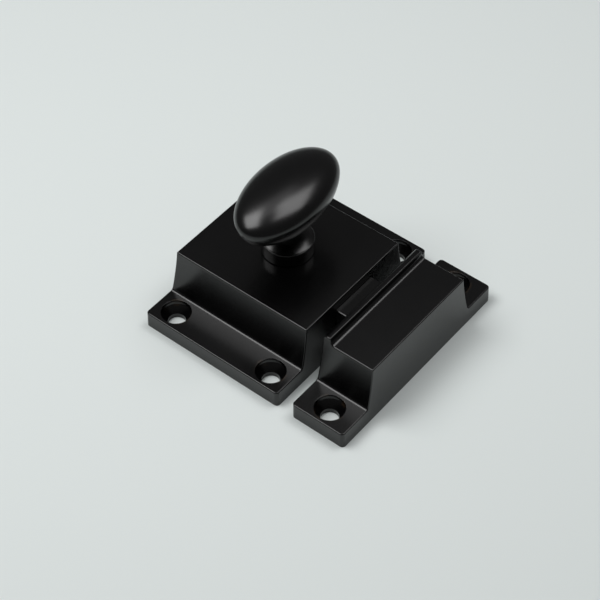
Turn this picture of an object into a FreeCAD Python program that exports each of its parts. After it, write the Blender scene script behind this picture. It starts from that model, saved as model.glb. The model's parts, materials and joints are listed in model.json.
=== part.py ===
import FreeCAD, Part
import math
import os

os.makedirs("parts", exist_ok=True)
V = FreeCAD.Vector

# Cupboard catch: a spring latch with an oval turn knob, and its keeper beside it.
# Origin on the knob's axis at the mounting plane. X points from the latch to the keeper,
# Y runs along the plates and Z points out of the cupboard. Millimetres and degrees.

# Plate and end walls, the same on the latch case and on the keeper
plate_length = 60.0
plate_corner_r = 1.0
flange_thickness = 4.6
flange_length = 9.7
wall_foot_lean = 15.2
wall_top_lean = 5.2
crease_r = 0.8
edge_r = 0.3

# Holes for the wood screws: a bore, a countersink and a short counterbore above it
screw_end_distance = 4.8
screw_side_distance = 5.95
screw_hole_d = 4.5
countersink_d = 7.6
countersink_depth = 2.0
counterbore_depth = 1.3

# Latch case
case_width = 41.9
case_height = 16.6
case_side_draft = 2.35
case_wall = 2.25
case_roof = 2.3
guide_rib_width = 1.6

# Back plate and its screws
back_plate_thickness = 1.2
back_plate_ledge = 1.0
back_plate_clearance = 0.1
plate_screw_head_d = 4.0
plate_screw_head_height = 1.0
plate_screw_shank_d = 2.0
plate_screw_length = 7.0

# Keeper
keeper_gap = 4.25
keeper_width = 15.5
keeper_height = 16.6
keeper_side_draft = 3.0
keeper_wall = 2.8
keeper_end_wall = 3.15
lip_width = 2.1
lip_height = 1.9
lip_cove_r = 1.3
lip_nose_r = 1.3

# Bolt and its travel
bolt_width = 14.3
bolt_height = 8.0
bolt_reach = 5.2
bolt_travel = 6.2
bolt_clearance = 0.2
bolt_nose_land = 2.2
bolt_bevel_length = 5.8
bolt_edge_r = 0.4
slide_width = 17.0
slide_thickness = 3.0
tail_length = 5.8
spring_pocket_depth = 4.6

# Bolt spring
spring_d = 5.6
spring_wire_d = 0.6
spring_turns = 6.5
spring_side_clearance = 0.4

# Knob
knob_turn = 60.0
knob_rest_turn = 4.0
knob_length = 34.2
knob_width = 19.3
knob_dome = 5.2
knob_belly = 8.5
knob_equator_z = 35.2
neck_d = 7.6
collar_d = 13.3
collar_height = 3.8
collar_land = 0.35
collar_dome = 1.0
knob_clearance = 0.15

# Spindle, cam and cam screw
spindle_d = 6.0
spindle_running_clearance = 0.05
spindle_grip = 12.0
spindle_square = 4.2
cam_thickness = 3.0
cam_hub_d = 9.2
cam_start = 2.1
cam_finger_width = 3.0
cam_finger_drop = 0.75
cam_overrun = 4.0
cam_flank_steps = 8
cam_clearance = 0.1
cam_slide_clearance = 0.3
cam_room = 0.6
cam_screw_head_d = 6.4
cam_screw_head_height = 1.6
cam_screw_shank_d = 2.5
cam_screw_length = 5.0
driver_slot_width = 0.7
driver_slot_depth = 0.5

# Room that a cutting tool needs past the face it starts from
past = 1.0

# Faces that meet at more than this angle make a sharp edge
sharp_angle = 15.0

# How far the middle of a quarter round lies from its tangents, for a radius of 1
quarter_bow = 1 - math.cos(math.pi / 4)


# The end walls are hollow arcs, which lean most at the foot and least at the top
foot_lean = math.radians(wall_foot_lean)
wall_r = (case_height - flange_thickness) / (math.sin(foot_lean) - math.sin(math.radians(wall_top_lean)))
wall_centre_y = plate_length / 2 - flange_length + wall_r * math.cos(foot_lean)
wall_centre_z = flange_thickness + wall_r * math.sin(foot_lean)


def tangent(degrees):
    """Tangent of an angle in degrees."""
    return math.tan(math.radians(degrees))


def wall_y(z):
    """Distance along Y from the middle to an end wall's outside, at a height."""
    return wall_centre_y - math.sqrt(wall_r**2 - (wall_centre_z - z) ** 2)


# Heights that follow from the driving sizes
ceiling_z = case_height - case_roof
bolt_top = ceiling_z - bolt_clearance
bolt_bottom = bolt_top - bolt_height
slide_bottom = bolt_top - slide_thickness
cam_top = slide_bottom - cam_slide_clearance
cam_bottom = cam_top - cam_thickness
collar_bottom = case_height + knob_clearance
collar_top = collar_bottom + collar_height
spindle_top = collar_bottom + spindle_grip

# Lengths and places along X and Y that follow from the driving sizes
screw_pitch_x = case_width - 2 * screw_side_distance
screw_pitch_y = plate_length - 2 * screw_end_distance
inner_x = case_width / 2 - case_height * tangent(case_side_draft) - case_wall
inner_y = wall_y(case_height) - case_wall
rib_y = slide_width / 2 + bolt_clearance
rib_end_y = rib_y + guide_rib_width
corner_post = inner_y - rib_end_y
keeper_x0 = case_width / 2 + keeper_gap
keeper_x1 = keeper_x0 + keeper_width
nose_x = keeper_x0 + bolt_reach
cam_base_r = bolt_travel / math.radians(knob_turn)
push_x = -cam_start - cam_clearance
tail_front_x = -cam_hub_d / 2 - cam_room
tail_end_x = tail_front_x - tail_length
spring_seat_x = tail_end_x + spring_pocket_depth
spring_z = bolt_bottom + bolt_height / 2


def box(x0, x1, y0, y1, z0, z1):
    """Block between two corners."""
    return Part.makeBox(x1 - x0, y1 - y0, z1 - z0, V(x0, y0, z0))


def post(radius, z0, z1, x=0.0, y=0.0):
    """Upright cylinder."""
    return Part.makeCylinder(radius, z1 - z0, V(x, y, z0))


def line(a, b):
    """Straight edge."""
    return Part.LineSegment(a, b).toShape()


def arc(a, middle, b):
    """Round edge through three points."""
    return Part.Arc(a, middle, b).toShape()


def face_of(edges):
    """Flat face inside a closed chain of edges."""
    return Part.Face(Part.Wire(edges))


def outline(points):
    """Flat face inside a closed polygon."""
    return Part.Face(Part.makePolygon(points + points[:1]))


def bend_at(edge, shape):
    """Angle in degrees between the two faces that meet at an edge."""
    middle = edge.valueAt((edge.FirstParameter + edge.LastParameter) / 2)
    normals = []
    for face in shape.ancestorsOfType(edge, Part.Face):
        u, v = face.Surface.parameter(middle)
        normals.append(face.normalAt(u, v))
    return math.degrees(normals[0].getAngle(normals[1]))


def round_plate_corners(shape):
    """Rounds the four upright edges at the corners of the flanges."""
    reach = plate_length / 2
    corners = []
    for edge in shape.Edges:
        bounds = edge.BoundBox
        at_end = max(abs(bounds.YMin), abs(bounds.YMax)) > reach - edge_r and bounds.YLength < edge_r
        if at_end and bounds.ZLength > flange_thickness / 2:
            corners.append(edge)
    return shape.makeFillet(plate_corner_r, corners)


def soften_edges(shape):
    """Rounds every sharp edge above the plate's sides."""
    sharp = []
    for edge in shape.Edges:
        if edge.BoundBox.ZMin > flange_thickness / 2 and bend_at(edge, shape) > sharp_angle:
            sharp.append(edge)
    return shape.makeFillet(edge_r, sharp)


def end_wall_edges(side, crest_z):
    """Edges of one end, from the mounting plane up to the crest; side is 1 or -1."""
    centre_z = flange_thickness + crease_r
    lean = math.asin((wall_centre_z - centre_z) / (wall_r - crease_r))
    centre_y = wall_centre_y - (wall_r - crease_r) * math.cos(lean)
    down = 3 * math.pi / 2
    into_wall = math.pi + lean

    def at(y, z):
        return V(0, side * y, z)

    def on_crease(turn):
        return at(centre_y + crease_r * math.cos(turn), centre_z + crease_r * math.sin(turn))

    wall_foot = on_crease(into_wall)
    middle_z = (wall_foot.z + crest_z) / 2
    return [
        line(at(plate_length / 2, 0), at(plate_length / 2, flange_thickness)),
        line(at(plate_length / 2, flange_thickness), on_crease(down)),
        arc(on_crease(down), on_crease((down + into_wall) / 2), wall_foot),
        arc(wall_foot, at(wall_y(middle_z), middle_z), at(wall_y(crest_z), crest_z)),
    ]


def end_section(x0, x1, crest_z):
    """Body between two X planes with the flanges, creases and end walls as its ends."""
    foot = line(V(0, -plate_length / 2, 0), V(0, plate_length / 2, 0))
    crest = line(V(0, wall_y(crest_z), crest_z), V(0, -wall_y(crest_z), crest_z))
    section = face_of([foot] + end_wall_edges(1, crest_z) + [crest] + end_wall_edges(-1, crest_z)[::-1])
    section.translate(V(x0, 0, 0))
    return section.extrude(V(x1 - x0, 0, 0))


def countersunk_hole(x, y):
    """Cutter for one wood screw: bore, countersink, counterbore and the way down to them."""
    rim_z = flange_thickness - counterbore_depth
    seat_z = rim_z - countersink_depth
    bore = post(screw_hole_d / 2, -past, seat_z + past, x, y)
    cone = Part.makeCone(screw_hole_d / 2, countersink_d / 2, countersink_depth, V(x, y, seat_z))
    way = post(countersink_d / 2, rim_z, case_height, x, y)
    return bore.fuse([cone, way])


def screw_places():
    """Centres of the two back plate screws, in opposite corner posts."""
    x = inner_x - corner_post / 2
    y = inner_y - corner_post / 2
    return [(x, -y), (-x, y)]


def make_latch_case():
    """Die-cast case with its flanges, hollow from the back, with guides for the bolt."""
    top_half = case_width / 2 - case_height * tangent(case_side_draft)
    body = end_section(-case_width / 2, case_width / 2, case_height)
    sides = outline([
        V(-case_width / 2, -plate_length, 0),
        V(case_width / 2, -plate_length, 0),
        V(top_half, -plate_length, case_height),
        V(-top_half, -plate_length, case_height),
    ]).extrude(V(0, 2 * plate_length, 0))
    body = body.common(sides)
    body = soften_edges(round_plate_corners(body))
    free_x = inner_x - corner_post
    hollow = box(-inner_x, inner_x, -rib_end_y, rib_end_y, -past, ceiling_z)
    hollow = hollow.fuse(box(-free_x, free_x, -inner_y, inner_y, -past, ceiling_z))
    for near, far in ((rib_y, rib_end_y), (-rib_end_y, -rib_y)):
        hollow = hollow.cut(box(-inner_x, inner_x, near, far, slide_bottom, ceiling_z))
    ledge_x = inner_x + back_plate_ledge
    ledge_y = inner_y + back_plate_ledge
    seat = box(-ledge_x, ledge_x, -ledge_y, ledge_y, -past, back_plate_thickness)
    slot_y = bolt_width / 2 + bolt_clearance
    slot = box(0, case_width, -slot_y, slot_y, bolt_bottom - bolt_clearance, ceiling_z)
    bore = post(spindle_d / 2 + spindle_running_clearance, ceiling_z - past, case_height + past)
    cutters = [seat, slot, bore]
    for x in (-screw_pitch_x / 2, screw_pitch_x / 2):
        for y in (-screw_pitch_y / 2, screw_pitch_y / 2):
            cutters.append(countersunk_hole(x, y))
    for x, y in screw_places():
        cutters.append(post(plate_screw_shank_d / 2, 0, plate_screw_length, x, y))
    return body.cut(hollow).cut(cutters)


def make_back_plate():
    """Steel plate that closes the back of the case, flush with the mounting plane."""
    half_x = inner_x + back_plate_ledge - back_plate_clearance
    half_y = inner_y + back_plate_ledge - back_plate_clearance
    plate = box(-half_x, half_x, -half_y, half_y, 0, back_plate_thickness)
    cutters = []
    for x, y in screw_places():
        cutters.append(post(plate_screw_shank_d / 2, 0, back_plate_thickness + past, x, y))
        cutters.append(plate_screw_head(x, y))
    return plate.cut(cutters)


def plate_screw_head(x, y):
    """Countersunk head that ends flush with the mounting plane."""
    return Part.makeCone(plate_screw_head_d / 2, plate_screw_shank_d / 2, plate_screw_head_height, V(x, y, 0))


def make_back_plate_screws():
    """The two countersunk screws of the back plate."""
    screws = []
    for x, y in screw_places():
        shank = post(plate_screw_shank_d / 2, 0, plate_screw_length, x, y)
        slot_x = plate_screw_head_d / 2
        slot_y = driver_slot_width / 2
        slot = box(x - slot_x, x + slot_x, y - slot_y, y + slot_y, -past, driver_slot_depth)
        screws.append(plate_screw_head(x, y).fuse(shank).cut(slot))
    return Part.makeCompound(screws)


def make_keeper():
    """Die-cast keeper: a hollow block with a raised lip that the bolt snaps behind."""
    crest_z = keeper_height + lip_height
    lip_x = keeper_x0 + lip_width
    foot_x = lip_x + lip_cove_r
    top_x = keeper_x1 - keeper_height * tangent(keeper_side_draft)

    def at(x, z):
        return V(x, -plate_length, z)

    nose_low = at(keeper_x0, crest_z - lip_nose_r)
    nose_high = at(keeper_x0 + lip_nose_r, crest_z)
    nose_middle = at(keeper_x0 + lip_nose_r * quarter_bow, crest_z - lip_nose_r * quarter_bow)
    cove_high = at(lip_x, keeper_height + lip_cove_r)
    cove_middle = at(lip_x + lip_cove_r * quarter_bow, keeper_height + lip_cove_r * quarter_bow)
    cove_low = at(foot_x, keeper_height)
    profile = face_of([
        line(at(keeper_x0, 0), nose_low),
        arc(nose_low, nose_middle, nose_high),
        line(nose_high, at(lip_x, crest_z)),
        line(at(lip_x, crest_z), cove_high),
        arc(cove_high, cove_middle, cove_low),
        line(cove_low, at(top_x, keeper_height)),
        line(at(top_x, keeper_height), at(keeper_x1, 0)),
        line(at(keeper_x1, 0), at(keeper_x0, 0)),
    ])
    body = end_section(keeper_x0, keeper_x1, crest_z)
    body = body.common(profile.extrude(V(0, 2 * plate_length, 0)))
    body = soften_edges(round_plate_corners(body))
    pocket_y = wall_y(keeper_height) - keeper_end_wall
    pocket_roof = bolt_top + bolt_clearance
    cutters = [box(keeper_x0 - past, top_x - keeper_wall, -pocket_y, pocket_y, -past, pocket_roof)]
    for y in (-screw_pitch_y / 2, screw_pitch_y / 2):
        cutters.append(countersunk_hole(keeper_x0 + keeper_width / 2, y))
    return body.cut(cutters)


def make_bolt():
    """Sliding bolt: bevelled nose, thin slide with the spindle's slot, and a tail with the push face."""
    half = bolt_width / 2
    slide_y = slide_width / 2
    shoulder_x = inner_x - bolt_clearance
    front_x = cam_hub_d / 2 + bolt_travel + cam_room
    bevel_z = bolt_top - bolt_nose_land
    nose = outline([
        V(front_x, -half, bolt_bottom),
        V(nose_x - bolt_bevel_length, -half, bolt_bottom),
        V(nose_x, -half, bevel_z),
        V(nose_x, -half, bolt_top),
        V(front_x, -half, bolt_top),
    ]).extrude(V(0, bolt_width, 0))
    outer = [edge for edge in nose.Edges if edge.BoundBox.XMax > front_x + edge_r]
    nose = nose.makeFillet(bolt_edge_r, outer)
    slide = box(tail_end_x, shoulder_x, -slide_y, slide_y, slide_bottom, bolt_top)
    tail = box(tail_end_x, tail_front_x, -slide_y, slide_y, bolt_bottom, slide_bottom)
    lug_y = math.sqrt((cam_hub_d / 2 + cam_room) ** 2 - push_x**2)
    lug = box(tail_front_x, push_x, lug_y, slide_y, bolt_bottom, slide_bottom)
    bolt = nose.fuse([slide, tail, lug]).removeSplitter()
    slot_r = spindle_d / 2 + cam_slide_clearance
    slot = box(0, bolt_travel, -slot_r, slot_r, slide_bottom, bolt_top + past)
    slot = slot.fuse([post(slot_r, slide_bottom, bolt_top + past, x) for x in (0, bolt_travel)])
    pocket_r = spring_d / 2 + spring_side_clearance
    pocket = Part.makeCylinder(pocket_r, spring_pocket_depth, V(tail_end_x, 0, spring_z), V(1, 0, 0))
    return bolt.cut([slot, pocket])


def make_bolt_spring():
    """Compression spring between the case's wall and the pocket in the bolt's tail."""
    mean_r = (spring_d - spring_wire_d) / 2
    height = spring_seat_x + inner_x - spring_wire_d
    helix = Part.makeHelix(height / spring_turns, height, mean_r)
    wire_section = Part.Circle(V(mean_r, 0, 0), V(0, 1, 0), spring_wire_d / 2).toShape()
    coil = Part.Wire(helix.Edges).makePipeShell([Part.Wire([wire_section])], True, True)
    coil.rotate(V(0, 0, 0), V(0, 1, 0), 90)
    coil.translate(V(-inner_x + spring_wire_d / 2, 0, spring_z))
    return coil


def oval_half(depth, turn):
    """Half of the oval head, turned about its long axis and pressed to its depth."""
    near_end = V(0, -knob_length / 2, 0)
    far_end = V(0, knob_length / 2, 0)
    oval = Part.Ellipse(far_end, V(knob_width / 2, 0, 0), V(0, 0, 0))
    side = Part.ArcOfEllipse(oval, 0, math.pi).toShape()
    profile = face_of([side, line(near_end, far_end)])
    press = FreeCAD.Matrix()
    press.A33 = depth / (knob_width / 2)
    half = profile.revolve(V(0, 0, 0), V(0, 1, 0), turn).transformGeometry(press)
    half.rotate(V(0, 0, 0), V(0, 0, 1), knob_rest_turn)
    half.translate(V(0, 0, knob_equator_z))
    return half


def make_knob():
    """Oval head, neck and round collar cast in one, with a blind bore for the spindle."""
    collar_r = collar_d / 2
    neck_r = neck_d / 2
    rim_r = collar_r - collar_land
    neck_z = collar_top + collar_dome
    rim_rise = (rim_r**2 - neck_r**2 - collar_dome**2) / (2 * collar_dome)
    dome_r = math.hypot(rim_r, rim_rise)
    middle_r = (rim_r + neck_r) / 2
    dome_middle = V(middle_r, 0, collar_top - rim_rise + math.sqrt(dome_r**2 - middle_r**2))
    land_bow = collar_land * quarter_bow
    land_middle = V(collar_r - land_bow, 0, collar_top - land_bow)
    stem = face_of([
        line(V(0, 0, collar_bottom), V(collar_r, 0, collar_bottom)),
        line(V(collar_r, 0, collar_bottom), V(collar_r, 0, collar_top - collar_land)),
        arc(V(collar_r, 0, collar_top - collar_land), land_middle, V(rim_r, 0, collar_top)),
        arc(V(rim_r, 0, collar_top), dome_middle, V(neck_r, 0, neck_z)),
        line(V(neck_r, 0, neck_z), V(neck_r, 0, knob_equator_z)),
        line(V(neck_r, 0, knob_equator_z), V(0, 0, knob_equator_z)),
        line(V(0, 0, knob_equator_z), V(0, 0, collar_bottom)),
    ]).revolve(V(0, 0, 0), V(0, 0, 1), 360)
    knob = oval_half(knob_dome, -180).fuse([oval_half(knob_belly, 180), stem])
    return knob.cut(post(spindle_d / 2, collar_bottom - past, spindle_top))


def make_spindle():
    """Steel spindle pressed into the knob, with a squared end for the cam."""
    spindle = post(spindle_d / 2, cam_top, spindle_top)
    half = spindle_square / 2
    spindle = spindle.fuse(box(-half, half, -half, half, cam_bottom, cam_top))
    return spindle.cut(post(cam_screw_shank_d / 2, cam_bottom - past, cam_bottom + cam_screw_length))


def flank_point(roll):
    """Point of the cam's involute flank at a roll angle, with the knob at rest."""
    start = math.pi / 2 + cam_start / cam_base_r
    angle = start - roll
    x = cam_base_r * (math.cos(angle) - roll * math.sin(angle))
    y = cam_base_r * (math.sin(angle) + roll * math.cos(angle))
    return V(x, y, cam_bottom)


def make_cam():
    """Cam whose involute finger draws the bolt back in step with the knob."""
    first_roll = cam_start / cam_base_r / 2
    last_roll = cam_start / cam_base_r + math.radians(knob_turn + cam_overrun)
    roll_step = (last_roll - first_roll) / cam_flank_steps
    rolls = [first_roll + roll_step * i for i in range(cam_flank_steps + 1)]
    points = [flank_point(roll) for roll in rolls]
    curve = Part.BSplineCurve()
    curve.interpolate(points)
    tip = points[-1]
    back = V(tip.x + cam_finger_width, tip.y - cam_finger_drop, cam_bottom)
    root = V(cam_hub_d / 2, 0, cam_bottom)
    centre = V(0, 0, cam_bottom)
    finger = face_of([
        curve.toShape(),
        line(tip, back),
        line(back, root),
        line(root, centre),
        line(centre, points[0]),
    ]).extrude(V(0, 0, cam_thickness))
    cam = post(cam_hub_d / 2, cam_bottom, cam_top).fuse(finger)
    half = spindle_square / 2
    return cam.cut(box(-half, half, -half, half, cam_bottom - past, cam_top + past))


def make_cam_screw():
    """Pan-head screw that holds the cam on the spindle."""
    head_z = cam_bottom - cam_screw_head_height
    head_r = cam_screw_head_d / 2
    screw = post(head_r, head_z, cam_bottom)
    screw = screw.fuse(post(cam_screw_shank_d / 2, head_z, cam_bottom + cam_screw_length))
    slot_y = driver_slot_width / 2
    return screw.cut(box(-head_r, head_r, -slot_y, slot_y, head_z - past, head_z + driver_slot_depth))


pieces = {
    "latch_case": make_latch_case(),
    "back_plate": make_back_plate(),
    "back_plate_screws": make_back_plate_screws(),
    "bolt": make_bolt(),
    "bolt_spring": make_bolt_spring(),
    "knob": make_knob(),
    "spindle": make_spindle(),
    "cam": make_cam(),
    "cam_screw": make_cam_screw(),
    "keeper": make_keeper(),
}

for name, shape in pieces.items():
    shape.exportStep("parts/" + name + ".step")
    print(name, len(shape.Solids), shape.isValid(), round(shape.Volume, 2))
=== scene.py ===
import json
import math

import bmesh
import bpy
from bpy.props import FloatProperty, FloatVectorProperty, IntProperty, PointerProperty
from mathutils import Matrix, Vector


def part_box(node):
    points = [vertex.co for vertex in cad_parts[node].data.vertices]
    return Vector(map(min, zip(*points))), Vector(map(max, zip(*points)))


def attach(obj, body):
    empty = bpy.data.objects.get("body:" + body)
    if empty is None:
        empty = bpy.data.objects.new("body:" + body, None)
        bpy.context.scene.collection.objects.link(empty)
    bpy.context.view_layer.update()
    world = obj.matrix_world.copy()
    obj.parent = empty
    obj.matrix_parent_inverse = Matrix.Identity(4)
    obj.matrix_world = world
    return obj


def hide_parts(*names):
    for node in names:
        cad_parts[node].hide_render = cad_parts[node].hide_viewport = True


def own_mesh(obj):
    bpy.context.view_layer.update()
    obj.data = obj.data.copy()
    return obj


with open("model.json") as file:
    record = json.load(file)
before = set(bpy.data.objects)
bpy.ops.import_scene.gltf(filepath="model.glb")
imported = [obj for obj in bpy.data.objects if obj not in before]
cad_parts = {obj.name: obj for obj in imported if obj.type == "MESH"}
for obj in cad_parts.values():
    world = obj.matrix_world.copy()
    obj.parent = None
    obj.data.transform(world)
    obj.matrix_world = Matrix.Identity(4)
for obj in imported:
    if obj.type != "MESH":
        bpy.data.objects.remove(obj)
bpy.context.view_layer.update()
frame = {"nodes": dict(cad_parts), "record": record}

bl_info = {
    "name": "Cupboard catch",
    "version": (1, 0, 0),
    "blender": (4, 5, 0),
    "location": "3D View > Sidebar > Catch",
    "description": "Models a black cupboard catch, its oval knob and its keeper around the CAD frame",
    "category": "Add Mesh",
}

# The frame is in metres: the knob's axis is Z, the plates run along Y and the keeper stands at +X
MM = 0.001
QUARTER = math.pi / 2

# Vertices closer than this are one, and a cutting tool reaches this far past the faces that it cuts
MERGE_DISTANCE = 0.002 * MM
PAST = 2 * MM
ROUND_PROFILE = 0.5

# What the frame gives: corners of the nodes, the screw holes' places and radius, and the bolt's travel
CASE_LOW, CASE_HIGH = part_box("latch_case")
KEEPER_LOW, KEEPER_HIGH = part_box("keeper")
KNOB_LOW, KNOB_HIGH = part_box("knob")
SPINDLE_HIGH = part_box("spindle")[1]
BOLT_LOW, BOLT_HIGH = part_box("bolt")
PLATE_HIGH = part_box("back_plate")[1]
PLATE_SCREWS_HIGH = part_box("back_plate_screws")[1]
SPRING_LOW, SPRING_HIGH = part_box("bolt_spring")
JOINTS = {joint["name"]: joint for joint in frame["record"]["behaviour"]["joints"]}
BOLT_TRAVEL = -JOINTS["bolt_slide"]["range_m"][0]
MOUNTS = {mount["name"]: mount for mount in frame["record"]["mounts"]}
LATCH_SCREWS = MOUNTS["latch_screws"]["dims"]
SCREW_HOLE_R = LATCH_SCREWS["hole_r_mm"] * MM
SCREW_X = LATCH_SCREWS["spacing_x_mm"] * MM / 2
SCREW_Y = LATCH_SCREWS["spacing_y_mm"] * MM / 2
KEEPER_SCREW_X = MOUNTS["keeper_screws"]["pos_m"][0]


def length(name, description, millimetres):
    """Property for a length, given in millimetres."""
    return FloatProperty(
        name=name, description=description, default=millimetres * MM, unit="LENGTH", precision=5
    )


def angle(name, description, degrees):
    """Property for an angle, given in degrees."""
    return FloatProperty(
        name=name, description=description, default=math.radians(degrees), subtype="ANGLE"
    )


def colour(name, description, red, green, blue):
    """Property for a linear colour."""
    return FloatVectorProperty(
        name=name, description=description, default=(red, green, blue), size=3,
        min=0.0, max=1.0, subtype="COLOR",
    )


def share(name, description, value):
    """Property for a number from 0 to 1."""
    return FloatProperty(
        name=name, description=description, default=value, min=0.0, max=1.0, subtype="FACTOR"
    )


def number(name, description, value):
    """Property for a plain number."""
    return FloatProperty(name=name, description=description, default=value, min=0.0)


def count(name, description, value):
    """Property for a whole number of steps."""
    return IntProperty(name=name, description=description, default=value, min=2)


class PlateSizes(bpy.types.PropertyGroup):
    """Flanges, end walls and edges, the same on the latch case and the keeper."""

    flange_thickness: length("Flange thickness", "Height of the flange", 4.6)
    flange_length: length("Flange length", "From the foot of the end wall to the end of the plate", 9.7)
    wall_foot_lean: angle("Wall foot lean", "Lean of the hollow end wall at its foot", 15.2)
    wall_top_lean: angle("Wall top lean", "Lean of the hollow end wall at the case's top", 5.2)
    crease_radius: length("Crease radius", "Rounding where the end wall meets the flange", 0.8)
    corner_radius: length("Corner radius", "Rounding of the flange's upright corners", 1.0)
    edge_radius: length("Edge radius", "Softening of the sharp edges", 0.3)
    sharp_angle: angle("Sharp angle", "Faces that meet at more than this make a sharp edge", 20.0)
    smooth_angle: angle("Smooth angle", "Faces that meet at less than this are shaded as one", 35.0)
    crease_steps: count("Crease steps", "Straight steps along the crease", 8)
    wall_steps: count("Wall steps", "Straight steps up the end wall", 16)
    edge_steps: count("Edge steps", "Faces across a rounded edge", 4)


class HoleSizes(bpy.types.PropertyGroup):
    """Holes for the wood screws."""

    countersink_radius: length("Countersink radius", "Radius of the countersink at its top", 3.8)
    countersink_depth: length("Countersink depth", "Depth of the countersink's cone", 2.0)
    counterbore_depth: length("Counterbore depth", "Depth of the straight wall above the cone", 1.3)
    rim_radius: length("Rim radius", "Softening of the rim", 0.12)
    rim_steps: count("Rim steps", "Faces across the softened rim", 2)
    sides: count("Sides", "Straight sides round a hole", 72)


class CaseSizes(bpy.types.PropertyGroup):
    """Latch case."""

    side_draft: angle("Side draft", "Lean of the two long sides", 2.35)
    wall: length("Wall", "Thickness of the walls", 2.25)
    roof: length("Roof", "Thickness of the roof", 2.3)
    ledge: length("Ledge", "Width of the ledge that the back plate rests on", 1.0)
    clearance: length("Clearance", "Running clearance round the bolt", 0.2)
    spindle_clearance: length("Spindle clearance", "Running clearance round the spindle", 0.05)
    bolt_half_width: length("Bolt half width", "Half the width of the bolt where it leaves the case", 7.15)
    slide_thickness: length("Slide thickness", "Height of the bolt's slide between the guide ribs", 3.0)
    rib_width: length("Rib width", "Width of the ribs that guide the bolt", 1.6)
    pilot_radius: length("Pilot radius", "Radius of the holes for the back plate's screws", 1.0)


class KeeperSizes(bpy.types.PropertyGroup):
    """Keeper with its raised lip."""

    side_draft: angle("Side draft", "Lean of the outer side", 3.0)
    wall: length("Wall", "Thickness of the outer wall", 2.8)
    end_wall: length("End wall", "Thickness of the end walls at the top", 3.15)
    lip_width: length("Lip width", "Width of the raised lip", 2.1)
    lip_height: length("Lip height", "Rise of the lip above the top", 1.9)
    lip_cove_radius: length("Lip cove radius", "Cove between the lip and the top", 1.3)
    lip_nose_radius: length("Lip nose radius", "Rounding of the lip on the latch's side", 1.3)
    lip_steps: count("Lip steps", "Straight steps along each rounding of the lip", 10)


class KnobSizes(bpy.types.PropertyGroup):
    """Oval knob with its neck and collar."""

    half_length: length("Half length", "Half the length of the oval", 17.1)
    half_width: length("Half width", "Half the width of the oval", 9.65)
    belly: length("Belly", "Depth of the oval below its widest outline", 8.5)
    equator: length("Equator height", "Height of the oval's widest outline", 35.2)
    rest_turn: angle("Rest turn", "Turn of the oval from the plates' length when the bolt is out", 4.0)
    neck_radius: length("Neck radius", "Radius of the neck", 3.8)
    collar_radius: length("Collar radius", "Radius of the collar", 6.65)
    collar_height: length("Collar height", "Height of the collar's straight side", 3.8)
    collar_edge: length("Collar edge", "Rounding of the collar's rim", 0.35)
    collar_foot: length("Collar foot", "Rounding of the collar's lower edge", 0.25)
    collar_dome: length("Collar dome", "Rise of the collar's domed top from its rim to the neck", 1.0)
    turn_steps: count("Turn steps", "Steps of each full turn", 112)
    outline_steps: count("Outline steps", "Steps along the oval's outline", 72)
    dome_steps: count("Dome steps", "Steps along the collar's dome", 16)
    edge_steps: count("Edge steps", "Steps along the collar's rim", 6)


class SpringSizes(bpy.types.PropertyGroup):
    """Spring that pushes the bolt out."""

    wire_radius: length("Wire radius", "Radius of the wire", 0.3)
    turns: number("Turns", "Turns of the coil", 6.5)
    wire_sides: count("Wire sides", "Straight sides round the wire", 12)
    turn_steps: count("Turn steps", "Steps of one turn", 32)


class FinishColours(bpy.types.PropertyGroup):
    """Colours, gloss and fine relief of the surfaces."""

    coat: colour("Black coat", "Satin black coat", 0.0010, 0.0010, 0.0011)
    coat_roughness: share("Coat roughness", "Roughness of the castings' coat", 0.22)
    knob_roughness: share("Knob roughness", "Roughness of the knob's coat", 0.245)
    coat_index: number("Coat index", "Refractive index of the coat", 1.5)
    rub: colour("Rubbed rim", "Warm brown where a rim's coat is rubbed thin", 0.06, 0.036, 0.016)
    rub_share: share("Rub share", "How much of the coat is gone where it is rubbed", 0.3)
    rub_width: length("Rub width", "Reach of the rubbed band on each side of the rim", 0.7)
    cloud_size: length("Cloud size", "Size of the slow changes of gloss", 9.0)
    cloud_gloss: share("Cloud gloss", "Change of roughness from cloud to cloud", 0.04)
    skin_size: length("Skin size", "Size of the coat's fine unevenness", 0.35)
    skin_depth: length("Skin depth", "Height of the coat's fine unevenness", 0.001)
    ring_pitch: length("Ring pitch", "Distance between the turning rings in a countersink", 0.24)
    ring_depth: length("Ring depth", "Height of the turning rings in a countersink", 0.004)
    grain_size: length("Grain size", "Width of the grain on the plates' ends", 0.5)
    grain_depth: length("Grain depth", "Height of the grain on the plates' ends", 0.002)
    grain_stretch: number("Grain stretch", "How much longer than wide the grain is", 8.0)
    steel: colour("Steel", "Turned steel of spindle and cam", 0.45, 0.45, 0.46)
    plate: colour("Plated sheet", "Zinc-plated sheet of the back plate", 0.55, 0.55, 0.56)
    screws: colour("Plated screws", "Zinc-plated steel of the screws", 0.58, 0.58, 0.59)
    spring: colour("Spring wire", "Drawn wire of the spring", 0.40, 0.40, 0.41)
    steel_roughness: share("Steel roughness", "Roughness of turned steel, screws and wire", 0.31)
    sheet_roughness: share("Sheet roughness", "Roughness of the plated sheet", 0.38)


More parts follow.
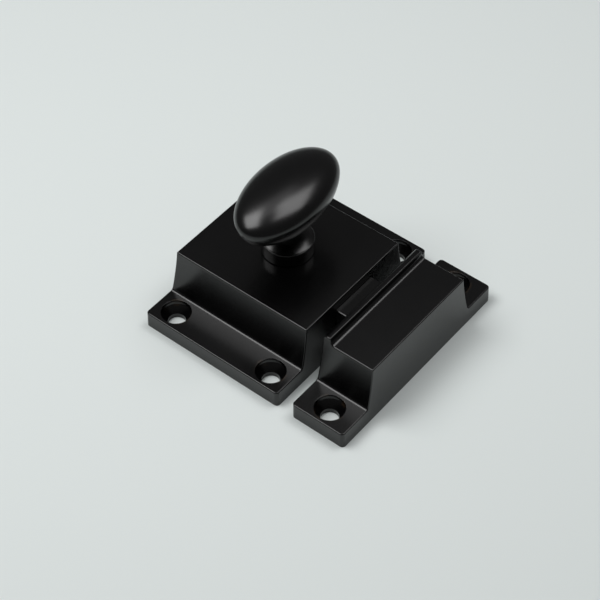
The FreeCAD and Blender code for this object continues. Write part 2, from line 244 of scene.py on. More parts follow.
class StageSettings(bpy.types.PropertyGroup):
    """Camera, lights and floor."""

    azimuth: angle("Azimuth", "Turn of the camera round the catch", 38.772)
    elevation: angle("Elevation", "Height of the camera above the horizon", 48.305)
    roll: angle("Roll", "Turn of the camera about its own axis", -0.094)
    distance: length("Distance", "From the camera to the origin's depth", 455.27)
    offset_right: length("Offset right", "Sideways place of the camera", 2.945)
    offset_up: length("Offset up", "Upward place of the camera", -1.766)
    lens: FloatProperty(
        name="Lens", description="Focal length in millimetres", default=108.668, unit="CAMERA"
    )
    clip_start: length("Clip start", "Nearest distance that the camera shows", 10.0)
    floor: colour("Floor", "Pale floor", 0.74, 0.787, 0.777)
    floor_size: length("Floor size", "Side of the floor", 3000.0)
    floor_roughness: share("Floor roughness", "Roughness of the floor", 0.9)
    room: colour("Room", "Dim light of the room", 0.11, 0.11, 0.11)
    lamp_distance: length("Lamp distance", "From the catch to the lamps", 550.0)
    left_azimuth: angle("Left azimuth", "Turn of the left lamp", -53.0)
    left_elevation: angle("Left elevation", "Height of the left lamp above the horizon", 61.5)
    left_width: length("Left width", "Width of the left lamp", 336.0)
    left_height: length("Left height", "Height of the left lamp", 325.0)
    left_radiance: number("Left radiance", "Brightness of the left lamp's face", 5.2)
    right_azimuth: angle("Right azimuth", "Turn of the right lamp", 148.0)
    right_elevation: angle("Right elevation", "Height of the right lamp above the horizon", 66.0)
    right_width: length("Right width", "Width of the right lamp", 274.0)
    right_height: length("Right height", "Height of the right lamp", 296.0)
    right_radiance: number("Right radiance", "Brightness of the right lamp's face", 3.9)
    rear_azimuth: angle("Rear azimuth", "Turn of the dim lamp above and behind", -120.0)
    rear_elevation: angle("Rear elevation", "Height of the rear lamp above the horizon", 74.0)
    rear_width: length("Rear width", "Width of the rear lamp", 400.0)
    rear_height: length("Rear height", "Height of the rear lamp", 210.0)
    rear_radiance: number("Rear radiance", "Brightness of the rear lamp's face", 0.9)


class CatchSettings(bpy.types.PropertyGroup):
    """All the catch's sizes, colours and stage settings."""

    plate: PointerProperty(type=PlateSizes)
    holes: PointerProperty(type=HoleSizes)
    case: PointerProperty(type=CaseSizes)
    keeper: PointerProperty(type=KeeperSizes)
    knob: PointerProperty(type=KnobSizes)
    spring: PointerProperty(type=SpringSizes)
    finish: PointerProperty(type=FinishColours)
    stage: PointerProperty(type=StageSettings)


# Modelling steps that the pieces share


def start_vertex(name):
    """Starts a piece in edit mode with one vertex at the origin."""
    bpy.ops.object.select_all(action="DESELECT")
    bpy.ops.mesh.primitive_plane_add(size=MM)
    piece = bpy.context.object
    piece.name = name
    piece.data.name = name
    bpy.ops.object.mode_set(mode="EDIT")
    bpy.ops.mesh.select_mode(type="VERT")
    bpy.ops.mesh.select_all(action="SELECT")
    bpy.ops.mesh.merge(type="CENTER")
    return piece


def trace(points):
    """Moves the one vertex to the first point and extrudes it along the others."""
    here = Vector(points[0])
    bpy.ops.transform.translate(value=here)
    for point in points[1:]:
        there = Vector(point)
        bpy.ops.mesh.extrude_vertices_move(TRANSFORM_OT_translate={"value": there - here})
        here = there


def prism(name, points, along):
    """Closed outline, filled and extruded along a vector; left in edit mode."""
    piece = start_vertex(name)
    trace(points)
    bpy.ops.mesh.select_all(action="SELECT")
    bpy.ops.mesh.edge_face_add()
    bpy.ops.mesh.extrude_region_move(TRANSFORM_OT_translate={"value": along})
    tidy_mesh()
    return piece


def tidy_mesh():
    """Merges doubles and turns every face outwards, in edit mode."""
    bpy.ops.mesh.select_all(action="SELECT")
    bpy.ops.mesh.remove_doubles(threshold=MERGE_DISTANCE)
    bpy.ops.mesh.normals_make_consistent(inside=False)


def pick(piece, kind, test):
    """Selects only the vertices, edges or faces that pass a test, in edit mode; stops if there are none."""
    bpy.ops.mesh.select_mode(type=kind)
    bpy.ops.mesh.select_all(action="DESELECT")
    mesh = bmesh.from_edit_mesh(piece.data)
    parts = {"VERT": mesh.verts, "EDGE": mesh.edges, "FACE": mesh.faces}[kind]
    picked = [part for part in parts if test(part)]
    for part in picked:
        part.select_set(True)
    if kind == "VERT":
        mesh.select_flush(True)
    bmesh.update_edit_mesh(piece.data)
    if not picked:
        raise RuntimeError(f"{piece.name}: nothing to work on")


def round_edges(offset, steps):
    """Rounds the selected edges."""
    bpy.ops.mesh.bevel(
        offset_type="OFFSET", offset=offset, segments=steps, profile=ROUND_PROFILE, clamp_overlap=False
    )


def lean_cut(point, normal):
    """Cuts off what lies past a plane and closes the cut, in edit mode."""
    bpy.ops.mesh.select_all(action="SELECT")
    bpy.ops.mesh.bisect(plane_co=point, plane_no=normal, use_fill=True, clear_outer=True)


def apply_modifier(piece, kind, **settings):
    """Adds a modifier with its settings and applies it, in object mode."""
    bpy.ops.object.select_all(action="DESELECT")
    bpy.context.view_layer.objects.active = piece
    piece.select_set(True)
    modifier = piece.modifiers.new(kind.lower(), kind)
    for name, value in settings.items():
        setattr(modifier, name, value)
    bpy.ops.object.modifier_apply(modifier=modifier.name)


def combine(piece, tool, operation):
    """Joins, cuts or intersects a piece with a tool, which is then removed; in object mode."""
    apply_modifier(piece, "BOOLEAN", operation=operation, object=tool, solver="EXACT")
    bpy.data.meshes.remove(tool.data)


def block(low, high):
    """Box between two corners, as a tool for combine."""
    bpy.ops.object.select_all(action="DESELECT")
    low = Vector(low)
    high = Vector(high)
    bpy.ops.mesh.primitive_cube_add(size=1.0, location=(low + high) / 2, scale=high - low)
    bpy.ops.object.transform_apply(location=True, rotation=False, scale=True)
    return bpy.context.object


def drill(radius, low, high, x, y, sides):
    """Upright cylinder, as a tool for combine."""
    bpy.ops.object.select_all(action="DESELECT")
    place = (x, y, (low + high) / 2)
    bpy.ops.mesh.primitive_cylinder_add(vertices=sides, radius=radius, depth=high - low, location=place)
    bpy.ops.object.transform_apply(location=True, rotation=False, scale=False)
    return bpy.context.object


def countersink_drill(settings, x, y):
    """Drill for one wood screw: the bore, the cone, the counterbore and the way down to it."""
    holes = settings.holes
    cone_top = settings.plate.flange_thickness - holes.counterbore_depth
    tool = drill(SCREW_HOLE_R, -PAST, cone_top - holes.countersink_depth, x, y, holes.sides)
    widen = holes.countersink_radius / SCREW_HOLE_R
    bpy.ops.object.mode_set(mode="EDIT")
    pick(tool, "FACE", lambda face: face.normal.z > math.cos(QUARTER / 2))
    bpy.ops.mesh.extrude_region_move(TRANSFORM_OT_translate={"value": (0, 0, holes.countersink_depth)})
    bpy.ops.transform.resize(value=(widen, widen, 1), center_override=(x, y, cone_top))
    bpy.ops.mesh.extrude_region_move(TRANSFORM_OT_translate={"value": (0, 0, CASE_HIGH.z)})
    bpy.ops.object.mode_set(mode="OBJECT")
    return tool


def drill_screw_holes(piece, settings, places):
    """Drills the countersunk holes and softens their rims."""
    holes = settings.holes
    for x, y in places:
        combine(piece, countersink_drill(settings, x, y), "DIFFERENCE")

    def on_rim(edge):
        middle = (edge.verts[0].co + edge.verts[1].co) / 2
        reach = min(math.hypot(middle.x - x, middle.y - y) for x, y in places)
        at_top = abs(middle.z - settings.plate.flange_thickness) < MERGE_DISTANCE
        sharp = edge.is_manifold and edge.calc_face_angle() > settings.plate.sharp_angle
        return at_top and sharp and abs(reach - holes.countersink_radius) < holes.rim_radius

    bpy.ops.object.mode_set(mode="EDIT")
    tidy_mesh()
    pick(piece, "EDGE", on_rim)
    round_edges(holes.rim_radius, holes.rim_steps)
    bpy.ops.object.mode_set(mode="OBJECT")


def arc_points(centre, radius, first, last, steps):
    """Points along an arc from one angle to another, both ends included."""
    points = []
    for step in range(steps + 1):
        turn = first + (last - first) * step / steps
        points.append((centre[0] + radius * math.cos(turn), centre[1] + radius * math.sin(turn)))
    return points


def wall_arc(plate, half_length):
    """Centre, in Y and Z, and radius of a hollow end wall."""
    foot = plate.wall_foot_lean
    radius = (CASE_HIGH.z - plate.flange_thickness) / (math.sin(foot) - math.sin(plate.wall_top_lean))
    centre_y = half_length - plate.flange_length + radius * math.cos(foot)
    return (centre_y, plate.flange_thickness + radius * math.sin(foot)), radius


def wall_y(plate, half_length, z):
    """Distance along Y from the middle to an end wall's outside, at a height."""
    centre, radius = wall_arc(plate, half_length)
    return centre[0] - math.sqrt(radius**2 - (centre[1] - z) ** 2)


def end_outline(plate, half_length, crest):
    """Outline of one end in Y and Z: the flange, the crease and the wall up to the crest."""
    flange = plate.flange_thickness
    crease = plate.crease_radius
    centre, radius = wall_arc(plate, half_length)
    into_wall = 2 * QUARTER + math.asin((centre[1] - flange - crease) / (radius - crease))
    at_crest = 2 * QUARTER + math.asin((centre[1] - crest) / radius)
    crease_centre = (centre[0] + (radius - crease) * math.cos(into_wall), flange + crease)
    points = [(half_length, 0.0), (half_length, flange)]
    points += arc_points(crease_centre, crease, 3 * QUARTER, into_wall, plate.crease_steps)
    points += arc_points(centre, radius, into_wall, at_crest, plate.wall_steps)[1:]
    return points


def cast_block(name, plate, low, high):
    """Block with flanges and hollow end walls, a little wider along X than its box; in edit mode."""
    end = end_outline(plate, high.y, high.z)
    points = [(low.x - PAST, y, z) for y, z in end]
    points += [(low.x - PAST, -y, z) for y, z in reversed(end)]
    return prism(name, points, (high.x - low.x + 2 * PAST, 0, 0))


def soften(piece, plate, end):
    """Rounds the flange's upright corners and every sharp edge above the plate's sides, in edit mode."""
    half_flange = plate.flange_thickness / 2

    def upright(edge):
        a, b = edge.verts[0].co, edge.verts[1].co
        return min(abs(a.y), abs(b.y)) > end - MERGE_DISTANCE and abs(a.z - b.z) > half_flange

    def sharp(edge):
        low = min(vertex.co.z for vertex in edge.verts)
        return low > half_flange and edge.is_manifold and edge.calc_face_angle_signed() > plate.sharp_angle

    pick(piece, "EDGE", upright)
    round_edges(plate.corner_radius, 2 * plate.edge_steps)
    pick(piece, "EDGE", sharp)
    round_edges(plate.edge_radius, plate.edge_steps)


def finish_piece(piece, settings, material, body, node):
    """Shades a modelled piece, gives it its finish and puts it in its node's place."""
    bpy.ops.object.mode_set(mode="EDIT")
    tidy_mesh()
    bpy.ops.object.mode_set(mode="OBJECT")
    bpy.ops.object.select_all(action="DESELECT")
    bpy.context.view_layer.objects.active = piece
    piece.select_set(True)
    bpy.ops.object.shade_smooth_by_angle(angle=settings.plate.smooth_angle)
    apply_modifier(piece, "WEIGHTED_NORMAL", keep_sharp=True)
    piece.data.materials.clear()
    piece.data.materials.append(material)
    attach(piece, body)
    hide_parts(node)


# Materials

# Places of the Mix node's colour sockets, whose names it also gives to other sockets
MIX_FIRST = 6
MIX_SECOND = 7
MIX_RESULT = 2
NOISE_DETAIL = 3.0

# Noise at which a rubbed patch starts, and at which it is whole
RUB_START = 0.5
RUB_WHOLE = 0.62

# Bare metal: size and depth of its grain, shade of the dark grain and change of roughness
METAL_GRAIN = MM
METAL_DEPTH = 0.001 * MM
METAL_DARK = 0.85
METAL_GLOSS = 0.15

# How fine the grain of each metal is along X, Y and Z
TURNED_GRAIN = (1, 1, 8)
SHEET_GRAIN = (1, 6, 1)
SCREW_GRAIN = (4, 4, 1)
WIRE_GRAIN = (2, 2, 2)


class Wire:
    """A shader socket that takes part in Python expressions; each operator adds a Math node."""

    def __init__(self, finish, socket):
        self.finish = finish
        self.socket = socket

    def math(self, operation, *values):
        """Adds one Math node."""
        return self.finish.node("ShaderNodeMath", {"operation": operation}, dict(enumerate(values)))

    def __add__(self, other):
        return self.math("ADD", self, other)

    def __sub__(self, other):
        return self.math("SUBTRACT", self, other)

    def __rsub__(self, other):
        return self.math("SUBTRACT", other, self)

    def __mul__(self, other):
        return self.math("MULTIPLY", self, other)

    def __pow__(self, other):
        return self.math("POWER", self, other)

    def __abs__(self):
        return self.math("ABSOLUTE", self)


class Finish:
    """Node tree of one material."""

    def __init__(self, name):
        self.material = bpy.data.materials.new(name)
        self.material.use_nodes = True
        self.tree = self.material.node_tree
        self.tree.nodes.clear()

    def node(self, kind, settings=None, inputs=None, output=0):
        """Adds a node, makes its settings, then sets or links its sockets, and returns one output."""
        node = self.tree.nodes.new(kind)
        for name, value in (settings or {}).items():
            setattr(node, name, value)
        for name, value in (inputs or {}).items():
            socket = node.inputs[name]
            if isinstance(value, Wire):
                self.tree.links.new(value.socket, socket)
            else:
                socket.default_value = value
        return Wire(self, node.outputs[output]) if node.outputs else None

    def place(self):
        """Object coordinates of the surface."""
        return self.node("ShaderNodeTexCoord", output="Object")

    def axes(self, place):
        """The three coordinates of a place."""
        return [
            self.node("ShaderNodeSeparateXYZ", None, {"Vector": place}, output=axis) for axis in "XYZ"
        ]

    def noise(self, place, size):
        """Noise with features of a size in metres, as a value from 0 to 1."""
        inputs = {"Vector": place, "Scale": 1 / size, "Detail": NOISE_DETAIL}
        return self.node("ShaderNodeTexNoise", None, inputs)

    def stretch(self, place, scale):
        """Place scaled along each axis, so that a pattern is longer where the scale is smaller."""
        return self.node("ShaderNodeMapping", None, {"Vector": place, "Scale": scale})

    def fade(self, value, start, end):
        """Soft step from 0 at the start to 1 at the end."""
        settings = {"interpolation_type": "SMOOTHSTEP"}
        inputs = {"Value": value, "From Min": start, "From Max": end}
        return self.node("ShaderNodeMapRange", settings, inputs)

    def mix(self, factor, first, second):
        """Blend of two colours."""
        settings = {"data_type": "RGBA"}
        inputs = {"Factor": factor, MIX_FIRST: first, MIX_SECOND: second}
        return self.node("ShaderNodeMix", settings, inputs, output=MIX_RESULT)

    def bump(self, height):
        """Normal of a surface with small relief, its height in metres."""
        return self.node("ShaderNodeBump", None, {"Height": height, "Strength": 1.0, "Distance": 1.0})

    def surface(self, **sockets):
        """Principled surface as the material's output."""
        names = {name.replace("_", " "): value for name, value in sockets.items()}
        shader = self.node("ShaderNodeBsdfPrincipled", None, names)
        self.node("ShaderNodeOutputMaterial", None, {"Surface": shader})
        return self.material


def rgba(shade):
    """Colour with full alpha."""
    return (*shade, 1.0)


def black_coat(name, colours, roughness):
    """Satin black coat with a fine skin and faint changes of gloss."""
    finish = Finish(name)
    place = finish.place()
    cloud = finish.noise(place, colours.cloud_size)
    gloss = cloud * colours.cloud_gloss + (roughness - colours.cloud_gloss / 2)
    relief = finish.bump(finish.noise(place, colours.skin_size) * colours.skin_depth)
    return finish.surface(
        Base_Color=rgba(colours.coat), Roughness=gloss, Normal=relief, IOR=colours.coat_index
    )


def cast_coat(name, settings, screw_x, middle_x, half_length):
    """Black coat of a casting: turning rings and rubbed rims at its screw holes, grain on its ends."""
    colours = settings.finish
    holes = settings.holes
    finish = Finish(name)
    place = finish.place()
    x, y, z = finish.axes(place)
    cloud = finish.noise(place, colours.cloud_size)
    skin = finish.noise(place, colours.skin_size)
    reach = ((abs(x - middle_x) - screw_x) ** 2 + (abs(y) - SCREW_Y) ** 2) ** 0.5
    rim = holes.countersink_radius
    cone_top = settings.plate.flange_thickness - holes.counterbore_depth
    in_hole = 1 - finish.fade(reach, rim - holes.rim_radius, rim)
    in_cone = in_hole * (1 - finish.fade(z, cone_top - holes.rim_radius, cone_top))
    rings = in_cone * reach.math("SINE", reach * (2 * math.pi / colours.ring_pitch))
    patch = finish.fade(finish.noise(place, rim), RUB_START, RUB_WHOLE)
    rubbed = patch * (1 - finish.fade(abs(reach - rim), 0.0, colours.rub_width)) * colours.rub_share
    at_end = finish.fade(abs(y), half_length - settings.plate.edge_radius, half_length)
    grain = at_end * finish.noise(
        finish.stretch(place, (1, 1, 1 / colours.grain_stretch)), colours.grain_size
    )
    shade = finish.mix(rubbed, rgba(colours.coat), rgba(colours.rub))
    gloss = cloud * colours.cloud_gloss + (colours.coat_roughness - colours.cloud_gloss / 2)
    height = skin * colours.skin_depth + rings * colours.ring_depth + grain * colours.grain_depth
    return finish.surface(
        Base_Color=shade, Roughness=gloss, Normal=finish.bump(height), IOR=colours.coat_index
    )


def bare_metal(name, shade, roughness, grain):
    """Plain metal with fine grain, its scale given along each axis."""
    finish = Finish(name)
    cloud = finish.noise(finish.stretch(finish.place(), grain), METAL_GRAIN)
    tone = finish.mix(cloud, rgba([METAL_DARK * part for part in shade]), rgba(shade))
    gloss = cloud * METAL_GLOSS + (roughness - METAL_GLOSS / 2)
    relief = finish.bump(cloud * METAL_DEPTH)
    return finish.surface(Base_Color=tone, Roughness=gloss, Normal=relief, Metallic=1.0)


# Operators


class CATCH_OT_latch_case(bpy.types.Operator):
    """Model the latch case with its flanges, countersunk holes, slot and hollow back"""

    bl_idname = "catch.latch_case"
    bl_label = "Latch case"
    bl_options = {"REGISTER", "UNDO"}

    def execute(self, context):
        settings = context.scene.catch
        case = settings.case
        piece = cast_block("case_shell", settings.plate, CASE_LOW, CASE_HIGH)
        for edge_x, side in ((CASE_HIGH.x, 1), (CASE_LOW.x, -1)):
            lean_cut((edge_x, 0, 0), (side * math.cos(case.side_draft), 0, math.sin(case.side_draft)))
        tidy_mesh()
        soften(piece, settings.plate, CASE_HIGH.y)
        bpy.ops.object.mode_set(mode="OBJECT")
        places = [(x, y) for x in (-SCREW_X, SCREW_X) for y in (-SCREW_Y, SCREW_Y)]
        drill_screw_holes(piece, settings, places)
        self.hollow(piece, settings)
        coat = cast_coat("case_coat", settings, SCREW_X, 0.0, CASE_HIGH.y)
        finish_piece(piece, settings, coat, "case", "latch_case")
        return {"FINISHED"}

    def hollow(self, piece, settings):
        """Cuts the hollow round the guide ribs and posts, the plate's seat, the slot and the bores."""
        case = settings.case
        ceiling = CASE_HIGH.z - case.roof
        inner_x = CASE_HIGH.x - CASE_HIGH.z * math.tan(case.side_draft) - case.wall
        inner_y = wall_y(settings.plate, CASE_HIGH.y, CASE_HIGH.z) - case.wall
        rib_y = BOLT_HIGH.y + case.clearance
        rib_end_y = rib_y + case.rib_width
        rib_foot = BOLT_HIGH.z - case.slide_thickness
        post = inner_y - rib_end_y
        free_x = inner_x - post
        seat_x = inner_x + case.ledge
        seat_y = inner_y + case.ledge
        slot_y = case.bolt_half_width + case.clearance
        slot_z = BOLT_LOW.z - case.clearance
        screw_x = inner_x - post / 2
        screw_y = inner_y - post / 2
        sides = settings.holes.sides
        tools = [
            block((-inner_x, -rib_y, -PAST), (inner_x, rib_y, ceiling)),
            block((-inner_x, -rib_end_y, -PAST), (inner_x, rib_end_y, rib_foot)),
            block((-free_x, -inner_y, -PAST), (free_x, inner_y, rib_foot)),
            block((-free_x, -inner_y, -PAST), (free_x, -rib_end_y, ceiling)),
            block((-free_x, rib_end_y, -PAST), (free_x, inner_y, ceiling)),
            block((-seat_x, -seat_y, -PAST), (seat_x, seat_y, PLATE_HIGH.z)),
            block((0, -slot_y, slot_z), (CASE_HIGH.x + PAST, slot_y, ceiling)),
            drill(SPINDLE_HIGH.x + case.spindle_clearance, ceiling - PAST, CASE_HIGH.z + PAST, 0, 0, sides),
            drill(case.pilot_radius, -PAST, PLATE_SCREWS_HIGH.z, screw_x, -screw_y, sides),
            drill(case.pilot_radius, -PAST, PLATE_SCREWS_HIGH.z, -screw_x, screw_y, sides),
        ]
        for tool in tools:
            combine(piece, tool, "DIFFERENCE")


class CATCH_OT_keeper(bpy.types.Operator):
    """Model the keeper with its raised lip, flanges and pocket for the bolt"""

    bl_idname = "catch.keeper"
    bl_label = "Keeper"
    bl_options = {"REGISTER", "UNDO"}

    def execute(self, context):
        settings = context.scene.catch
        keeper = settings.keeper
        top = KEEPER_HIGH.z - keeper.lip_height
        past_end = 2 * KEEPER_HIGH.y
        piece = cast_block("keeper_shell", settings.plate, KEEPER_LOW, KEEPER_HIGH)
        bpy.ops.object.mode_set(mode="OBJECT")
        side = [(x, -past_end, z) for x, z in self.side_outline(keeper, top)]
        shape = prism("keeper_side", side, (0, 2 * past_end, 0))
        bpy.ops.object.mode_set(mode="OBJECT")
        combine(piece, shape, "INTERSECT")
        bpy.ops.object.mode_set(mode="EDIT")
        tidy_mesh()
        soften(piece, settings.plate, KEEPER_HIGH.y)
        bpy.ops.object.mode_set(mode="OBJECT")
        drill_screw_holes(piece, settings, [(KEEPER_SCREW_X, y) for y in (-SCREW_Y, SCREW_Y)])
        pocket_x = KEEPER_HIGH.x - top * math.tan(keeper.side_draft) - keeper.wall
        pocket_y = wall_y(settings.plate, KEEPER_HIGH.y, top) - keeper.end_wall
        roof = BOLT_HIGH.z + settings.case.clearance
        pocket = block((KEEPER_LOW.x - PAST, -pocket_y, -PAST), (pocket_x, pocket_y, roof))
        combine(piece, pocket, "DIFFERENCE")
        coat = cast_coat("keeper_coat", settings, 0.0, KEEPER_SCREW_X, KEEPER_HIGH.y)
        finish_piece(piece, settings, coat, "case", "keeper")
        return {"FINISHED"}

    def side_outline(self, keeper, top):
        """Outline in X and Z: the lip with its nose and cove, the top and the leaning outer side."""
        low_x = KEEPER_LOW.x
        high_x = KEEPER_HIGH.x
        crest = KEEPER_HIGH.z
        lip_x = low_x + keeper.lip_width
        nose = keeper.lip_nose_radius
        cove = keeper.lip_cove_radius
        points = [(low_x, 0.0)]
        points += arc_points((low_x + nose, crest - nose), nose, 2 * QUARTER, QUARTER, keeper.lip_steps)
        points.append((lip_x, crest))
        points += arc_points((lip_x + cove, top + cove), cove, 2 * QUARTER, 3 * QUARTER, keeper.lip_steps)
        points += [(high_x - top * math.tan(keeper.side_draft), top), (high_x, 0.0)]
        return points


class CATCH_OT_knob(bpy.types.Operator):
    """Model the oval knob with its neck and collar"""

    bl_idname = "catch.knob"
    bl_label = "Knob"
    bl_options = {"REGISTER", "UNDO"}

    def execute(self, context):
        settings = context.scene.catch
        knob = settings.knob
        piece = self.oval(knob)
        combine(piece, self.stem(knob), "UNION")
        bore = drill(SPINDLE_HIGH.x, KNOB_LOW.z - PAST, SPINDLE_HIGH.z, 0, 0, settings.holes.sides)
        combine(piece, bore, "DIFFERENCE")
        coat = black_coat("knob_coat", settings.finish, settings.finish.knob_roughness)
        finish_piece(piece, settings, coat, "knob", "knob")
        return {"FINISHED"}

    def oval(self, knob):
        """Head: half an ellipse spun about its long axis, then pressed to its dome and its belly."""
        across = Vector((math.cos(knob.rest_turn), math.sin(knob.rest_turn), 0))
        along = Vector((-math.sin(knob.rest_turn), math.cos(knob.rest_turn), 0))
        centre = Vector((0, 0, knob.equator))
        outline = arc_points((0, 0), 1.0, -QUARTER, QUARTER, knob.outline_steps)
        piece = start_vertex("oval_knob")
        trace([
            centre + across * (knob.half_width * x) + along * (knob.half_length * y) for x, y in outline
        ])
        bpy.ops.mesh.select_all(action="SELECT")
        bpy.ops.mesh.spin(steps=knob.turn_steps, angle=2 * math.pi, center=centre, axis=along)
        tidy_mesh()
        for depth, side in ((KNOB_HIGH.z - knob.equator, 1), (knob.belly, -1)):
            pick(piece, "VERT", lambda vertex: side * (vertex.co.z - knob.equator) > MERGE_DISTANCE)
            bpy.ops.transform.resize(value=(1, 1, depth / knob.half_width), center_override=centre)
        bpy.ops.object.mode_set(mode="OBJECT")
        return piece

    def stem(self, knob):
        """Neck and collar, spun about the knob's axis."""
        rim = knob.collar_radius - knob.collar_edge
        collar_top = KNOB_LOW.z + knob.collar_height
        dome = knob.collar_dome
        rim_rise = (rim**2 - knob.neck_radius**2 - dome**2) / (2 * dome)
        radius = math.hypot(rim, rim_rise)
        at_rim = math.acos(rim / radius)
        at_neck = math.acos(knob.neck_radius / radius)
        foot = knob.collar_foot
        foot_centre = (knob.collar_radius - foot, KNOB_LOW.z + foot)
        rim_centre = (rim, collar_top - knob.collar_edge)
        points = [(0.0, KNOB_LOW.z)]
        points += arc_points(foot_centre, foot, -QUARTER, 0.0, knob.edge_steps)
        points += arc_points(rim_centre, knob.collar_edge, 0.0, QUARTER, knob.edge_steps)
        points += arc_points((0.0, collar_top - rim_rise), radius, at_rim, at_neck, knob.dome_steps)[1:]
        points += [(knob.neck_radius, knob.equator), (0.0, knob.equator)]
        piece = start_vertex("knob_stem")
        trace([(x, 0.0, z) for x, z in points])
        bpy.ops.mesh.select_all(action="SELECT")
        bpy.ops.mesh.spin(steps=knob.turn_steps, angle=2 * math.pi, center=(0, 0, 0), axis=(0, 0, 1))
        tidy_mesh()
        bpy.ops.object.mode_set(mode="OBJECT")
        return piece


class CATCH_OT_spring(bpy.types.Operator):
    """Model the spring behind the bolt"""

    bl_idname = "catch.spring"
    bl_label = "Bolt spring"
    bl_options = {"REGISTER", "UNDO"}

    def execute(self, context):
        settings = context.scene.catch
        colours = settings.finish
        piece = self.coil(settings.spring)
        wire = bare_metal("spring_wire", colours.spring, colours.steel_roughness, WIRE_GRAIN)
        finish_piece(piece, settings, wire, "case", "bolt_spring")
        left = 1 - BOLT_TRAVEL / (SPRING_HIGH.x - SPRING_LOW.x)
        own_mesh(piece)
        return {"FINISHED"}

    def coil(self, spring):
        """Ring of wire, screwed along the spring's axis and closed at both ends."""
        wire = spring.wire_radius
        middle = (SPRING_LOW + SPRING_HIGH) / 2
        start = (SPRING_LOW.x + wire, middle.y, middle.z)
        bpy.ops.object.select_all(action="DESELECT")
        bpy.ops.mesh.primitive_circle_add(
            vertices=spring.wire_sides, radius=wire, location=start, rotation=(QUARTER, 0, 0)
        )
        piece = bpy.context.object
        piece.name = "coil_spring"
        piece.data.name = "coil_spring"
        bpy.ops.object.transform_apply(location=False, rotation=True, scale=False)
        bpy.ops.object.mode_set(mode="EDIT")
        bpy.ops.mesh.select_all(action="SELECT")
        bpy.ops.transform.translate(value=(0, 0, SPRING_HIGH.z - middle.z - wire))
        bpy.ops.object.mode_set(mode="OBJECT")
        steps = round(spring.turns * spring.turn_steps)
        apply_modifier(
            piece, "SCREW", axis="X", angle=2 * math.pi * spring.turns, steps=steps, render_steps=steps,
            screw_offset=SPRING_HIGH.x - SPRING_LOW.x - 2 * wire,
        )
        bpy.ops.object.transform_apply(location=True, rotation=False, scale=False)
        bpy.ops.object.mode_set(mode="EDIT")
        bpy.ops.mesh.select_all(action="SELECT")
        bpy.ops.mesh.fill_holes(sides=spring.wire_sides)
        bpy.ops.object.mode_set(mode="OBJECT")
        return piece


class CATCH_OT_inner_pieces(bpy.types.Operator):
    """Give the bolt and the pieces inside the case their finishes"""

    bl_idname = "catch.inner_pieces"
    bl_label = "Inner pieces"
    bl_options = {"REGISTER", "UNDO"}

    def execute(self, context):
        colours = context.scene.catch.finish
        bolt = black_coat("bolt_coat", colours, colours.coat_roughness)
        turned = bare_metal("turned_steel", colours.steel, colours.steel_roughness, TURNED_GRAIN)
        sheet = bare_metal("plated_sheet", colours.plate, colours.sheet_roughness, SHEET_GRAIN)
        screws = bare_metal("plated_screw", colours.screws, colours.steel_roughness, SCREW_GRAIN)
        finishes = {
            "bolt": bolt, "spindle": turned, "cam": turned, "cam_screw": screws,
            "back_plate": sheet, "back_plate_screws": screws,
        }
        for name, material in finishes.items():
            frame["nodes"][name].material_slots[0].material = material
        return {"FINISHED"}


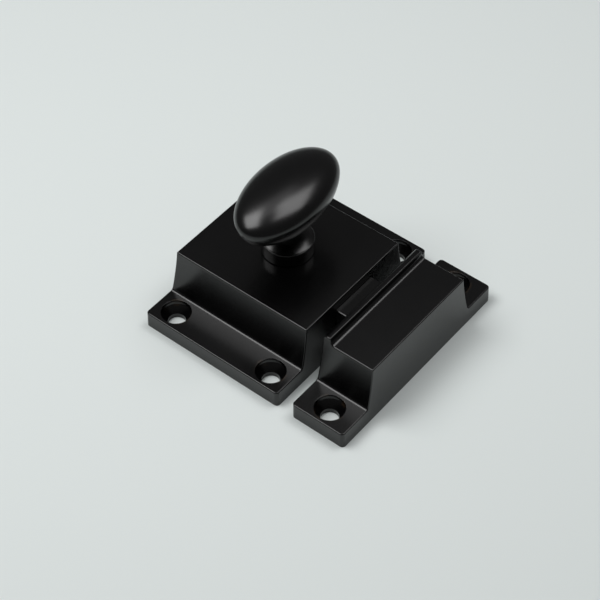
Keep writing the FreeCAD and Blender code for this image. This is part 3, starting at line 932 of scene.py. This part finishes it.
class CATCH_OT_stage(bpy.types.Operator):
    """Set up the floor, the lights and the camera"""

    bl_idname = "catch.stage"
    bl_label = "Stage"
    bl_options = {"REGISTER", "UNDO"}

    def execute(self, context):
        stage = context.scene.catch.stage
        self.floor(stage)
        self.room(context.scene, stage)
        self.softbox(
            "left_softbox", self.away(stage.left_azimuth, stage.left_elevation) * stage.lamp_distance,
            stage.left_width, stage.left_height, stage.left_radiance,
        )
        self.softbox(
            "right_softbox", self.away(stage.right_azimuth, stage.right_elevation) * stage.lamp_distance,
            stage.right_width, stage.right_height, stage.right_radiance,
        )
        self.softbox(
            "rear_softbox", self.away(stage.rear_azimuth, stage.rear_elevation) * stage.lamp_distance,
            stage.rear_width, stage.rear_height, stage.rear_radiance,
        )
        self.camera(context.scene, stage)
        context.scene.view_settings.view_transform = "Standard"
        return {"FINISHED"}

    def away(self, azimuth, elevation):
        """Direction from the catch; azimuth 0 is -Y and 90 degrees is +X."""
        level = math.cos(elevation)
        return Vector((math.sin(azimuth) * level, -math.cos(azimuth) * level, math.sin(elevation)))

    def floor(self, stage):
        """Wide pale floor at the mounting plane."""
        bpy.ops.object.select_all(action="DESELECT")
        bpy.ops.mesh.primitive_plane_add(size=stage.floor_size, location=(0, 0, 0))
        floor = bpy.context.object
        floor.name = "floor"
        pale = Finish("floor_pale").surface(Base_Color=rgba(stage.floor), Roughness=stage.floor_roughness)
        floor.data.materials.append(pale)

    def room(self, scene, stage):
        """Dim even light all round."""
        world = bpy.data.worlds.new("room")
        world.use_nodes = True
        background = world.node_tree.nodes["Background"]
        background.inputs["Color"].default_value = rgba(stage.room)
        scene.world = world

    def softbox(self, name, place, width, height, radiance):
        """Soft lamp that faces the catch."""
        lamp = bpy.data.lights.new(name, "AREA")
        lamp.shape = "RECTANGLE"
        lamp.size = width
        lamp.size_y = height
        lamp.energy = radiance * math.pi * width * height
        holder = bpy.data.objects.new(name, lamp)
        bpy.context.collection.objects.link(holder)
        holder.location = place
        holder.rotation_euler = place.to_track_quat("Z", "Y").to_euler()
        holder.visible_camera = False

    def camera(self, scene, stage):
        """Camera at the viewing angle that shows the top, the two near sides and the knob."""
        back = self.away(stage.azimuth, stage.elevation)
        level = Vector((math.cos(stage.azimuth), math.sin(stage.azimuth), 0))
        rise = back.cross(level)
        right = math.cos(stage.roll) * level + math.sin(stage.roll) * rise
        up = math.cos(stage.roll) * rise - math.sin(stage.roll) * level
        lens = bpy.data.cameras.new("camera")
        lens.lens = stage.lens
        lens.clip_start = stage.clip_start
        camera = bpy.data.objects.new("camera", lens)
        bpy.context.collection.objects.link(camera)
        place = right * stage.offset_right + up * stage.offset_up + back * stage.distance
        axes = Matrix((right, up, back)).transposed()
        camera.matrix_world = Matrix.Translation(place) @ axes.to_4x4()
        scene.camera = camera


class CATCH_PT_panel(bpy.types.Panel):
    """Lists the catch's pieces in the sidebar"""

    bl_idname = "CATCH_PT_panel"
    bl_label = "Cupboard catch"
    bl_space_type = "VIEW_3D"
    bl_region_type = "UI"
    bl_category = "Catch"

    def draw(self, context):
        for operator in OPERATORS:
            self.layout.operator(operator.bl_idname)


OPERATORS = (
    CATCH_OT_latch_case, CATCH_OT_keeper, CATCH_OT_knob,
    CATCH_OT_spring, CATCH_OT_inner_pieces, CATCH_OT_stage,
)
CLASSES = (
    PlateSizes, HoleSizes, CaseSizes, KeeperSizes, KnobSizes, SpringSizes, FinishColours, StageSettings,
    CatchSettings, *OPERATORS, CATCH_PT_panel,
)


def register():
    """Registers the classes and the scene's settings."""
    for item in CLASSES:
        bpy.utils.register_class(item)
    bpy.types.Scene.catch = PointerProperty(type=CatchSettings)


def unregister():
    """Takes back what register did."""
    del bpy.types.Scene.catch
    for item in reversed(CLASSES):
        bpy.utils.unregister_class(item)


def main():
    """Models every piece and the stage."""
    register()
    bpy.ops.catch.latch_case()
    bpy.ops.catch.keeper()
    bpy.ops.catch.knob()
    bpy.ops.catch.spring()
    bpy.ops.catch.inner_pieces()
    bpy.ops.catch.stage()


if __name__ == "__main__":
    main()
